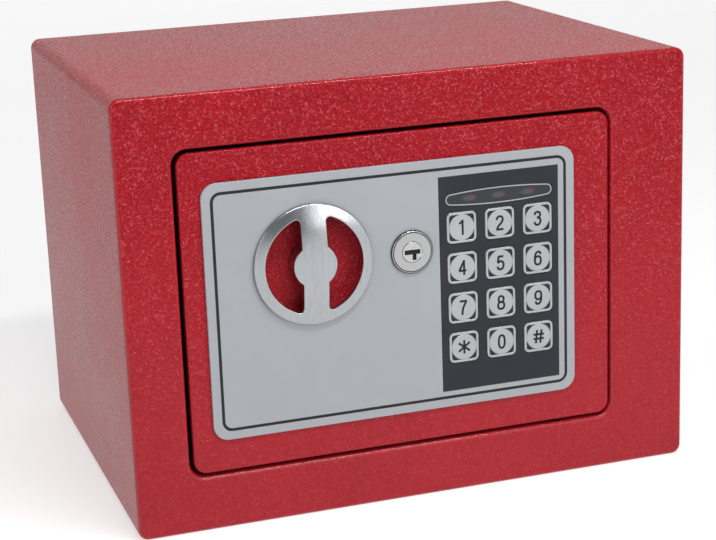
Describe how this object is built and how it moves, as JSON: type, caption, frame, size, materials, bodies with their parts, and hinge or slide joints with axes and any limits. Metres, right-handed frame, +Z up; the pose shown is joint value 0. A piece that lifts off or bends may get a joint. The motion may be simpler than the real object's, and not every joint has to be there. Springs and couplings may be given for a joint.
{
  "type": "electronic mini safe",
  "caption": "Small steel home safe with a hinged door, a recessed knob that throws the bolts, a keypad and an override key lock.",
  "frame": {"origin": "centre of the underside of the steel body", "axes": "+X to the right seen from the door side, +Y from the door to the back, +Z up"},
  "size_m": [0.23, 0.1751, 0.17],
  "materials": {
    "red_powder_coat": "wrinkled red powder coat",
    "bright_steel": "bright turned steel",
    "zinc_steel": "zinc plated steel",
    "satin_chrome": "satin chrome",
    "silver_plastic": "silver painted plastic",
    "dark_plastic": "dark slate printed plastic",
    "black_plastic": "black moulded plastic",
    "circuit_board": "green solder mask",
    "copper_winding": "enamelled copper winding",
    "grey_felt": "dark grey felt",
    "smoked_lens": "smoked window",
    "led_red": "dull red epoxy",
    "reset_red": "red plastic",
    "battery_wrap": "blue printed wrap"
  },
  "bodies": {
    "safe_body": {"body_shell": "red_powder_coat", "back_panel": "red_powder_coat", "floor_mat": "grey_felt", "hinge_washer": "zinc_steel"},
    "door": {"door_plate": "red_powder_coat", "hinge_block_upper": "red_powder_coat", "hinge_block_lower": "red_powder_coat", "hinge_pin_upper": "bright_steel", "hinge_pin_lower": "bright_steel", "fascia": "silver_plastic", "keypad_overlay": "dark_plastic", "indicator_lens": "smoked_lens", "led_left": "led_red", "led_middle": "led_red", "led_right": "led_red", "keypad_circuit": "circuit_board", "bolt_guide": "red_powder_coat", "door_cover": "red_powder_coat", "cover_screw_1": "zinc_steel", "cover_screw_2": "zinc_steel", "cover_screw_3": "zinc_steel", "cover_screw_4": "zinc_steel", "control_board": "circuit_board", "board_connector": "black_plastic", "buzzer": "black_plastic", "battery_holder": "black_plastic", "battery_1": "battery_wrap", "battery_2": "battery_wrap", "battery_3": "battery_wrap", "battery_4": "battery_wrap", "solenoid_frame": "zinc_steel", "solenoid_coil": "copper_winding", "plunger_spring": "bright_steel", "lock_barrel": "satin_chrome", "lock_nut": "zinc_steel"},
    "knob_group": {"knob": "satin_chrome", "knob_spindle": "bright_steel", "retaining_clip": "zinc_steel", "drive_cam": "zinc_steel"},
    "bolt_work": {"bolt_carriage": "zinc_steel", "bolt_lower": "bright_steel", "bolt_upper": "bright_steel"},
    "plunger": {"solenoid_plunger": "bright_steel"},
    "lock_core": {"lock_plug": "satin_chrome", "lock_cam": "zinc_steel", "lock_cam_screw": "zinc_steel"},
    "battery_lid_body": {"battery_lid": "black_plastic"},
    "reset_button_body": {"reset_button": "reset_red"},
    "key_1_body": {"key_1": "silver_plastic"},
    "key_2_body": {"key_2": "silver_plastic"},
    "key_3_body": {"key_3": "silver_plastic"},
    "key_4_body": {"key_4": "silver_plastic"},
    "key_5_body": {"key_5": "silver_plastic"},
    "key_6_body": {"key_6": "silver_plastic"},
    "key_7_body": {"key_7": "silver_plastic"},
    "key_8_body": {"key_8": "silver_plastic"},
    "key_9_body": {"key_9": "silver_plastic"},
    "key_star_body": {"key_star": "silver_plastic"},
    "key_0_body": {"key_0": "silver_plastic"},
    "key_hash_body": {"key_hash": "silver_plastic"}
  },
  "joints": [
    {"name": "door_hinge", "type": "hinge", "parent": "safe_body", "child": "door", "pos_m": [0.0595, -0.079, 0.0856], "axis": [0, 0, 1], "range_deg": [0, 100]},
    {"name": "knob_turn", "type": "hinge", "parent": "door", "child": "knob_group", "pos_m": [-0.0418, -0.0863, 0.1011], "axis": [0, -1, 0], "range_deg": [0, 90]},
    {"name": "bolt_slide", "type": "slide", "parent": "door", "child": "bolt_work", "axis": [-1, 0, 0], "range_m": [0, 0.01131]},
    {"name": "plunger_slide", "type": "slide", "parent": "door", "child": "plunger", "axis": [0, 0, 1], "range_m": [0, 0.00801]},
    {"name": "lock_turn", "type": "hinge", "parent": "door", "child": "lock_core", "pos_m": [-0.0022, -0.0863, 0.1011], "axis": [0, 1, 0], "range_deg": [0, 90]},
    {"name": "key_1_press", "type": "slide", "parent": "door", "child": "key_1_body", "axis": [0, 1, 0], "range_m": [0, 0.0004], "stiffness_N_per_m": 2000},
    {"name": "key_2_press", "type": "slide", "parent": "door", "child": "key_2_body", "axis": [0, 1, 0], "range_m": [0, 0.0004], "stiffness_N_per_m": 2000},
    {"name": "key_3_press", "type": "slide", "parent": "door", "child": "key_3_body", "axis": [0, 1, 0], "range_m": [0, 0.0004], "stiffness_N_per_m": 2000},
    {"name": "key_4_press", "type": "slide", "parent": "door", "child": "key_4_body", "axis": [0, 1, 0], "range_m": [0, 0.0004], "stiffness_N_per_m": 2000},
    {"name": "key_5_press", "type": "slide", "parent": "door", "child": "key_5_body", "axis": [0, 1, 0], "range_m": [0, 0.0004], "stiffness_N_per_m": 2000},
    {"name": "key_6_press", "type": "slide", "parent": "door", "child": "key_6_body", "axis": [0, 1, 0], "range_m": [0, 0.0004], "stiffness_N_per_m": 2000},
    {"name": "key_7_press", "type": "slide", "parent": "door", "child": "key_7_body", "axis": [0, 1, 0], "range_m": [0, 0.0004], "stiffness_N_per_m": 2000},
    {"name": "key_8_press", "type": "slide", "parent": "door", "child": "key_8_body", "axis": [0, 1, 0], "range_m": [0, 0.0004], "stiffness_N_per_m": 2000},
    {"name": "key_9_press", "type": "slide", "parent": "door", "child": "key_9_body", "axis": [0, 1, 0], "range_m": [0, 0.0004], "stiffness_N_per_m": 2000},
    {"name": "key_star_press", "type": "slide", "parent": "door", "child": "key_star_body", "axis": [0, 1, 0], "range_m": [0, 0.0004], "stiffness_N_per_m": 2000},
    {"name": "key_0_press", "type": "slide", "parent": "door", "child": "key_0_body", "axis": [0, 1, 0], "range_m": [0, 0.0004], "stiffness_N_per_m": 2000},
    {"name": "key_hash_press", "type": "slide", "parent": "door", "child": "key_hash_body", "axis": [0, 1, 0], "range_m": [0, 0.0004], "stiffness_N_per_m": 2000},
    {"name": "reset_press", "type": "slide", "parent": "door", "child": "reset_button_body", "axis": [0, -1, 0], "range_m": [0, 0.001], "stiffness_N_per_m": 1000},
    {"name": "lid_slide", "type": "slide", "parent": "door", "child": "battery_lid_body", "axis": [-1, 0, 0], "range_m": [0, 0.03]}
  ],
  "couplings": [
    {"joint": "knob_turn", "follows": "bolt_slide", "rad_per_m": 138.84},
    {"joint": "plunger_slide", "follows": "bolt_slide", "ratio": 0.7071}
  ]
}
